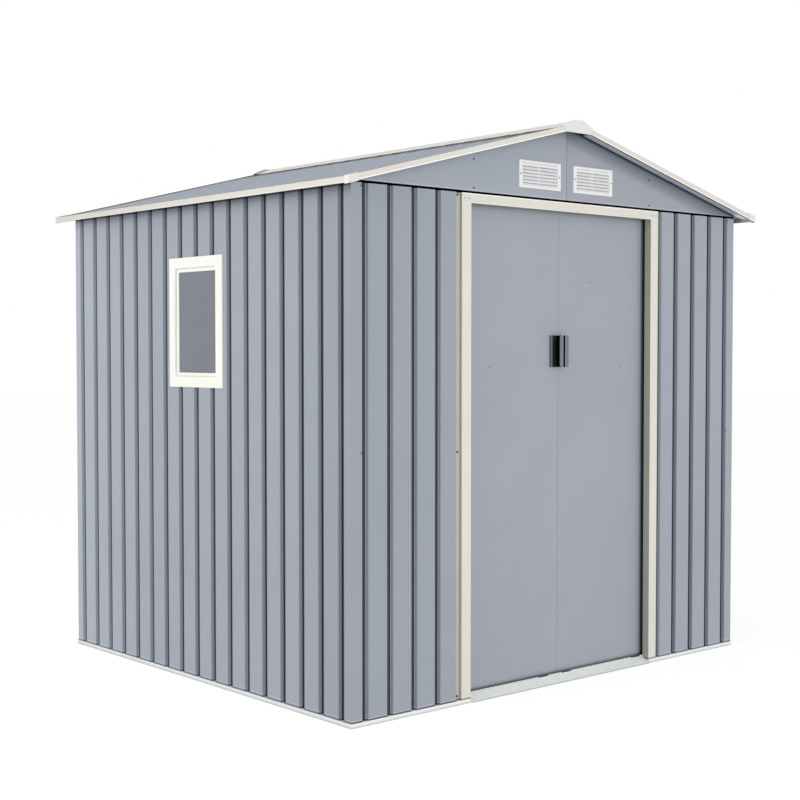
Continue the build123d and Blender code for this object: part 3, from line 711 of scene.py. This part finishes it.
        # Ridge ends: the same plastic, with painted shade on the face of the far one that looks forward.
        forward = Shade({"NY": 1.0}, ((0.3, 1.0), (0.6, 0.0)))
        painted_far_end_shade = Shade({"Y": 1.0}, ((925, 1.0), (929, 0.2)), where=forward)
        self.ridge_end = Finish(
            "moulded_ridge_end", cap, roughness=0.4, patch_depth=0.01, shades=(painted_far_end_shade,)
        ).make()
        # Panes: clear plastic in a painted grey that stands for the dark room's shade, with a little gloss.
        self.pane = Pane(
            "clear_plastic_pane",
            "#878C98",
            roughness=0.12,
            gloss=0.5,
            patch_depth=0.01,
            grain_depth_mm=0.0,
        ).make()

    def make_handles_and_runners(self) -> None:
        """Makes the moulded plastics of the handles and runners."""
        # Handles: grey moulding, with painted shade that blackens the pocket and the sideways faces, and
        # a painted highlight on the fold along the grip.
        on_foot = Shade({"Y": 1.0}, ((-859, 0.0), (-858, 1.0)))
        painted_pocket_shade = Shade(
            {"|X|": 1.0},
            ((20, 0.08), (26, 0.14), (30, 0.3), (33.5, 0.95), (37, 0.9), (40, 0.55), (44, 0.55)),
            hue=COOL,
            where=on_foot,
        )
        painted_web_shade = Shade({"Y": 1.0}, ((-885.3, 1.0), (-884.6, 0.06), (-859.5, 0.06), (-858.0, 1.0)))
        # Painted shade: the faces turned sideways go black.
        inner = Shade({"|NX|": 1.0}, ((0.4, 1.0), (0.6, 0.01)))
        on_grip = Shade({"Y": 1.0}, ((-886, 1.0), (-885, 0.0)))
        painted_fold_highlight = Shade({"|X|": 1.0}, ((5, 1.3), (8.5, 1.3), (11, 1.0)), where=on_grip)
        self.grip = Finish(
            "moulded_handle", "#7C7F87", roughness=0.4, gloss=0.15, shades=(painted_pocket_shade, painted_web_shade, inner, painted_fold_highlight)
        ).make()
        # Runners: nylon, dull mid grey, in the shade of the tracks.
        self.runner = Finish("nylon_runner", "#727479", roughness=0.5).make()


def dress(node: str, material: bpy.types.Material) -> None:
    """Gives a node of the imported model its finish.

    Args:
        node: The node's name.
        material: The finish for all its faces.
    """
    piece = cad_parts[node]
    if not piece.material_slots:
        piece.data.materials.append(material)
    for slot in piece.material_slots:
        slot.material = material
    log.info("dressed %s with %s", node, material.name)


def add_piece(
    name: str, bm: bmesh.types.BMesh, material: bpy.types.Material, body: str
) -> bpy.types.Object:
    """Makes a new piece of a finished bmesh, with its place in its mesh.

    Args:
        name: The piece's name.
        bm: The shape, which is freed.
        material: Its finish.
        body: The body that carries it.

    Returns:
        The new object.
    """
    bmesh.ops.recalc_face_normals(bm, faces=bm.faces)
    mesh = bpy.data.meshes.new(name)
    bm.to_mesh(mesh)
    bm.free()
    mesh.materials.append(material)
    piece = bpy.data.objects.new(name, mesh)
    bpy.context.scene.collection.objects.link(piece)
    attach(piece, body)
    log.info("made %s: %d faces", name, len(mesh.polygons))
    return piece


@dataclass(frozen=True)
class Screw:
    """A self-drilling screw or a rivet: a washer and a low domed head."""

    washer_radius: float = 4.2 * MM
    washer_height: float = 0.8 * MM
    washer_taper: float = 0.9          # upper radius as a part of the lower one
    head_radius: float = 3.0 * MM
    head_height: float = 2.0 * MM
    head_taper: float = 0.6
    segments: int = 12

    def build(self, places: list[Vector], outward: Vector) -> bmesh.types.BMesh:
        """Models a screw at each place.

        Args:
            places: Points on the surface that the screws are in.
            outward: The surface's normal.

        Returns:
            All the screws in one bmesh.
        """
        bm = bmesh.new()
        turn = UP.rotation_difference(outward).to_matrix().to_4x4()
        for place in places:
            for radius, taper, start, height in (
                (self.washer_radius, self.washer_taper, 0.0, self.washer_height),
                (self.head_radius, self.head_taper, self.washer_height, self.head_height),
            ):
                lift = Matrix.Translation(UP * (start + height / 2))
                bmesh.ops.create_cone(
                    bm,
                    cap_ends=True,
                    segments=self.segments,
                    radius1=radius,
                    radius2=radius * taper,
                    depth=height,
                    matrix=Matrix.Translation(place) @ turn @ lift,
                )
        return bm


JAMB_SCREW = Screw()
WALL_SCREW = Screw(washer_radius=3.2 * MM, head_radius=2.4 * MM, head_height=1.4 * MM)
GABLE_SCREW = Screw(washer_radius=3.4 * MM, head_radius=2.6 * MM)
VENT_SCREW = Screw(
    washer_radius=2.6 * MM, washer_height=0.5 * MM, head_radius=2.0 * MM, head_height=1.0 * MM
)
HEADER_RIVET = Screw(washer_radius=2.6 * MM, head_radius=1.8 * MM, head_height=1.0 * MM)
LEAF_RIVET = Screw(
    washer_radius=2.4 * MM, washer_height=0.4 * MM, head_radius=1.6 * MM, head_height=0.8 * MM
)


@dataclass
class Assembly(ABC):
    """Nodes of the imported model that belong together, with the small pieces that go on them."""

    palette: Palette

    @abstractmethod
    def dress(self) -> None:
        """Gives the nodes their finishes."""

    def build(self) -> None:
        """Adds the small pieces, where there are any."""


@dataclass
class Cladding(Assembly):
    """The grooved walls on their base rails, and the rails behind them."""

    corner_inset: float = 42 * MM      # screws beside the corners, from the wall's end
    second_inset: float = 255 * MM     # the next screw along, on the left
    top_row: float = 18 * MM           # screws below the eave line
    eave: float = 1.756                # height of the eave line

    def dress(self) -> None:
        """Gives the walls and rails their finishes."""
        for side in ("left", "right"):
            dress(f"{side}_wall", self.palette.side_wall)
            dress(f"{side}_base_rail", self.palette.side_rail)
        dress("front_left_wall", self.palette.front_left_wall)
        dress("front_right_wall", self.palette.front_right_wall)
        dress("back_wall", self.palette.back_wall)
        dress("back_base_rail", self.palette.rail)
        dress("front_base_rails", self.palette.rail)
        for node in ("side_mid_rails", "back_mid_rail", "front_mid_rails", "side_top_rails"):
            dress(node, self.palette.inner)
        for node in ("front_top_rail", "back_top_rail"):
            dress(node, self.palette.gap)

    def build(self) -> None:
        """Adds the screws of the front and back walls."""
        low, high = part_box("left_wall")
        middle = (low.z + self.eave) / 2
        top = self.eave - self.top_row
        for end in End:
            face = low.y if end is End.FRONT else high.y
            places = []
            for side in Side:
                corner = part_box(f"{side.name.lower()}_wall")[0 if side is Side.LEFT else 1].x
                rows = [(self.corner_inset, top), (self.corner_inset, middle)]
                if side is Side.LEFT:
                    rows.append((self.second_inset, top))
                for inset, height in rows:
                    places.append(Vector((corner - math.copysign(inset, corner), face, height)))
            screws = WALL_SCREW.build(places, Vector((0, end.value, 0)))
            name = f"{end.name.lower()}_wall_screws"
            add_piece(name, screws, self.palette.grey_screw, "shed")


@dataclass
class Doorway(Assembly):
    """The frame round the doorway, with its sill and tracks."""

    flange_row: float = 7 * MM         # screws in the jambs' flanges, from the flange's edge
    flange_depth: float = 10.5 * MM    # of the flanges behind the wall's face
    top_drop: float = 8 * MM           # upper screws, below the wall's top
    middle_drop: float = 6 * MM        # middle screws, below half the wall's height
    foot_height: float = 30 * MM       # lower screws, above the ground
    rivet_reaches: tuple[float, float] = (487.5 * MM, 508 * MM)   # in the header, from the middle
    rivet_drop: float = 18 * MM        # below the wall's top

    def dress(self) -> None:
        """Gives the frame its finishes."""
        for side, jamb in zip(("left", "right"), self.palette.jambs):
            dress(f"{side}_jamb", jamb)
        dress("door_header", self.palette.header)
        dress("door_sill", self.palette.sill)
        dress("door_lower_track", self.palette.inner)
        dress("door_upper_track", self.palette.inner)

    def build(self) -> None:
        """Adds the screws in the jambs' flanges and the rivets in the header's ends."""
        outer = -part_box("left_jamb")[0].x
        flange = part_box("front_left_wall")[0].y + self.flange_depth
        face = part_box("door_header")[0].y
        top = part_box("front_left_wall")[1].z
        flange_places = []
        header_places = []
        for side in Side:
            for height in (top - self.top_drop, top / 2 - self.middle_drop, self.foot_height):
                flange_places.append(Vector((side.value * (outer - self.flange_row), flange, height)))
            for reach in self.rivet_reaches:
                header_places.append(Vector((side.value * reach, face, top - self.rivet_drop)))
        outward = Vector((0, -1, 0))
        screws = JAMB_SCREW.build(flange_places, outward)
        add_piece("jamb_screws", screws, self.palette.screw, "shed")
        rivets = HEADER_RIVET.build(header_places, outward)
        add_piece("header_rivets", rivets, self.palette.rivet, "shed")


@dataclass
class DoorLeaf(Assembly):
    """One sliding leaf with its handle, rivets and runners."""

    side: Side
    rivets_mm: list[tuple[float, float]] = field(default_factory=list)   # across and above the ground
    seal_gap: float = 0.4 * MM         # between the seal and the other leaf
    seal_setback: float = 0.2 * MM     # behind the leaves' faces
    seal_depth: float = 6 * MM
    seal_bevel: float = 0.8 * MM

    def dress(self) -> None:
        """Gives the leaf, its handle and its runners their finishes."""
        name = self.side.name.lower()
        leaf = self.palette.left_leaf if self.side is Side.LEFT else self.palette.right_leaf
        dress(f"{name}_door", leaf)
        dress(f"{name}_door_handle", self.palette.grip)
        dress(f"{name}_door_runners", self.palette.runner)

    def build(self) -> None:
        """Adds the leaf's rivets and, on the left leaf, the seal that closes the seam."""
        name = self.side.name.lower()
        low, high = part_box(f"{name}_door")
        places = [Vector((x * MM, low.y, z * MM)) for x, z in self.rivets_mm]
        rivets = LEAF_RIVET.build(places, Vector((0, -1, 0)))
        add_piece(f"{name}_door_rivets", rivets, self.palette.screw, f"{name}_leaf")
        if self.side is Side.LEFT:
            self.build_seal(low, high)

    def build_seal(self, low: Vector, high: Vector) -> None:
        """Adds the seal between the leaves.

        Args:
            low: The left leaf's lowest corner.
            high: Its highest corner.
        """
        width = -2 * high.x - self.seal_gap
        bm = bmesh.new()
        bmesh.ops.create_cube(bm, size=1.0)
        bmesh.ops.scale(bm, vec=(width, self.seal_depth, high.z - low.z), verts=bm.verts)
        depth = low.y + self.seal_setback + self.seal_depth / 2
        middle = Vector((high.x + width / 2, depth, (low.z + high.z) / 2))
        bmesh.ops.translate(bm, vec=middle, verts=bm.verts)
        upright = [
            edge for edge in bm.edges if abs(edge.verts[0].co.z - edge.verts[1].co.z) > self.seal_depth
        ]
        bmesh.ops.bevel(
            bm, geom=upright, offset=self.seal_bevel, segments=2, profile=0.5, affect="EDGES", material=-1
        )
        add_piece("door_seam_seal", bm, self.palette.left_leaf, "left_leaf")


@dataclass
class Gable(Assembly):
    """A gable's two halves, its vents and screws."""

    end: End
    screw_reach: float = 466 * MM                            # from the middle
    screw_rows: tuple[float, float] = (11 * MM, 109 * MM)    # above the gable's foot
    vent_screws: tuple[float, float] = (41 * MM, 241 * MM)   # on the middle of the vents' end borders

    def dress(self) -> None:
        """Gives the sheets and vents their finishes."""
        name = self.end.name.lower()
        dress(f"{name}_left_gable", self.palette.left_gable)
        dress(f"{name}_right_gable", self.palette.right_gable)
        dress(f"{name}_vents", self.palette.vent)

    def build(self) -> None:
        """Adds the gable's screws and the two in each vent's ends."""
        name = self.end.name.lower()
        outward = Vector((0, self.end.value, 0))
        low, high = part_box(f"{name}_left_gable")
        face = low.y if self.end is End.FRONT else high.y
        places = [
            Vector((side.value * self.screw_reach, face, low.z + row))
            for side in Side
            for row in self.screw_rows
        ]
        screws = GABLE_SCREW.build(places, outward)
        add_piece(f"{name}_gable_screws", screws, self.palette.screw, "shed")
        low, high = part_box(f"{name}_vents")
        face = low.y if self.end is End.FRONT else high.y
        middle = (low.z + high.z) / 2
        places = [
            Vector((side.value * reach, face, middle)) for side in Side for reach in self.vent_screws
        ]
        screws = VENT_SCREW.build(places, outward)
        add_piece(f"{name}_vent_screws", screws, self.palette.screw, "shed")


@dataclass
class Roof(Assembly):
    """The roof's sheets, trims and caps, and what carries them."""

    def dress(self) -> None:
        """Gives the roof its finishes."""
        for side in ("left", "right"):
            dress(f"{side}_roof", self.palette.roof)
            dress(f"{side}_eave_trim", self.palette.eave)
            dress(f"front_{side}_verge_trim", self.palette.verge)
            dress(f"back_{side}_verge_trim", self.palette.back_verge)
        dress("ridge_cap", self.palette.ridge)
        dress("ridge_end_caps", self.palette.ridge_end)
        dress("roof_corner_caps", self.palette.cap)
        dress("ridge_beam", self.palette.inner)
        dress("side_purlins", self.palette.inner)


@dataclass
class WindowUnit(Assembly):
    """A fixed window: moulded frame and pane."""

    side: Side

    def dress(self) -> None:
        """Gives the frame and pane their finishes."""
        name = self.side.name.lower()
        dress(f"{name}_window_frame", self.palette.frame)
        dress(f"{name}_window_pane", self.palette.pane)


@dataclass(frozen=True)
class Lamp:
    """A soft square lamp."""

    name: str
    place: tuple[float, float, float]
    size: float
    watts: float

    def build(self, target: Vector) -> None:
        """Hangs the lamp.

        Args:
            target: What it points at.
        """
        data = bpy.data.lights.new(self.name, "AREA")
        data.size = self.size
        data.energy = self.watts
        lamp = bpy.data.objects.new(self.name, data)
        lamp.location = self.place
        lamp.rotation_euler = (target - Vector(self.place)).to_track_quat("-Z", "Y").to_euler()
        bpy.context.scene.collection.objects.link(lamp)


@dataclass
class Studio:
    """Plain pale floor, soft light and the photograph's camera."""

    camera_place: tuple[float, float, float] = (-3.8907, -4.4466, 1.2165)
    azimuth: float = -41.04            # degrees from +Y, to the left
    pitch: float = -2.01               # degrees, downwards
    lens_mm: float = 64.77
    sensor_mm: float = 36.0
    sight: float = 200.0               # farthest that the camera sees
    floor_size: float = 60.0
    floor_drop: float = 0.5 * MM       # of the floor below the shed's foot
    floor_seen: tuple[float, float] = (0.83, 0.26)      # glow and grey level, to the eye
    floor_unseen: tuple[float, float] = (0.185, 0.8)    # and to the light that it sends back up
    ambient: float = 0.58
    target: tuple[float, float, float] = (0.0, 0.0, 1.0)   # of the lamps
    lamps: tuple[Lamp, ...] = (
        Lamp("key_lamp", (-6.5, -0.6, 3.0), size=4.0, watts=138.0),
        Lamp("front_lamp", (-0.5, -8.0, 2.2), size=4.0, watts=121.0),
        Lamp("top_lamp", (-1.5, -1.0, 8.0), size=5.0, watts=46.0),
    )

    def build(self) -> None:
        """Makes the camera, the floor, the world and the lamps."""
        self.build_camera()
        self.build_floor()
        self.build_world()
        for lamp in self.lamps:
            lamp.build(Vector(self.target))
        bpy.context.scene.view_settings.view_transform = "Standard"

    def build_camera(self) -> None:
        """Sets the camera where the photograph was taken."""
        data = bpy.data.cameras.new("camera")
        data.lens = self.lens_mm
        data.sensor_width = self.sensor_mm
        data.clip_end = self.sight
        camera = bpy.data.objects.new("camera", data)
        camera.location = self.camera_place
        turn = math.radians(self.azimuth)
        rise = math.radians(self.pitch)
        level = math.cos(rise)
        ahead = Vector((-math.sin(turn) * level, math.cos(turn) * level, math.sin(rise)))
        camera.rotation_euler = ahead.to_track_quat("-Z", "Y").to_euler()
        bpy.context.scene.collection.objects.link(camera)
        bpy.context.scene.camera = camera

    def build_floor(self) -> None:
        """Makes the floor, which shows white with a faint shadow and sends light back up."""
        bm = bmesh.new()
        bmesh.ops.create_grid(bm, x_segments=1, y_segments=1, size=self.floor_size / 2)
        bmesh.ops.translate(bm, vec=(0, 0, -self.floor_drop), verts=bm.verts)
        mesh = bpy.data.meshes.new("floor")
        bm.to_mesh(mesh)
        bm.free()
        floor = bpy.data.objects.new("floor", mesh)
        bpy.context.scene.collection.objects.link(floor)
        # Matt paper: plain white, with only a faint shadow at the shed's foot.
        material = bpy.data.materials.new("studio_floor")
        material.use_nodes = True
        tree = material.node_tree
        tree.nodes.clear()
        unseen, seen = (
            add_node(tree, "AddShader", links={
                0: add_node(tree, "Emission", {"Color": WHITE, "Strength": glow}).outputs[0],
                1: add_node(tree, "BsdfDiffuse", {"Color": (grey, grey, grey, 1)}).outputs[0],
            })
            for glow, grey in (self.floor_unseen, self.floor_seen)
        )
        mixed = add_node(tree, "MixShader", links={
            0: self.shown_ray(tree), 1: unseen.outputs[0], 2: seen.outputs[0],
        })
        add_node(tree, "OutputMaterial", links={"Surface": mixed.outputs[0]})
        mesh.materials.append(material)

    def build_world(self) -> None:
        """Makes the world: white where it is seen, and a plain even light on the object."""
        world = bpy.data.worlds.new("studio")
        bpy.context.scene.world = world
        world.use_nodes = True
        tree = world.node_tree
        tree.nodes.clear()
        lit = add_node(tree, "Background", {"Color": WHITE, "Strength": self.ambient})
        seen = add_node(tree, "Background", {"Color": WHITE, "Strength": 1.0})
        mixed = add_node(tree, "MixShader", links={
            0: self.shown_ray(tree), 1: lit.outputs[0], 2: seen.outputs[0],
        })
        add_node(tree, "OutputWorld", links={"Surface": mixed.outputs[0]})

    def shown_ray(self, tree: bpy.types.NodeTree) -> bpy.types.NodeSocket:
        """Tells whether a ray comes from the camera, a reflection or through the panes.

        Args:
            tree: The node tree that asks.

        Returns:
            An output of 1 for such a ray and 0 for other light.
        """
        path = add_node(tree, "LightPath")
        first = add_node(tree, "Math", links={
            0: path.outputs["Is Camera Ray"], 1: path.outputs["Is Glossy Ray"],
        }, operation="MAXIMUM")
        return add_node(tree, "Math", links={
            0: first.outputs["Value"], 1: path.outputs["Is Transmission Ray"],
        }, operation="MAXIMUM").outputs["Value"]


def main() -> None:
    """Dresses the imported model, adds the small pieces and sets the studio."""
    logging.basicConfig(level=logging.INFO, format="%(message)s")
    palette = Palette()
    assemblies = [
        Cladding(palette),
        Doorway(palette),
        DoorLeaf(palette, Side.LEFT, rivets_mm=[(-348, 1153)]),
        DoorLeaf(palette, Side.RIGHT, rivets_mm=[(348, 1153), (173, 1466)]),
        Gable(palette, End.FRONT),
        Gable(palette, End.BACK),
        Roof(palette),
        WindowUnit(palette, Side.LEFT),
        WindowUnit(palette, Side.RIGHT),
    ]
    for assembly in assemblies:
        assembly.dress()
        assembly.build()
    Studio().build()


if __name__ == "__main__":
    main()
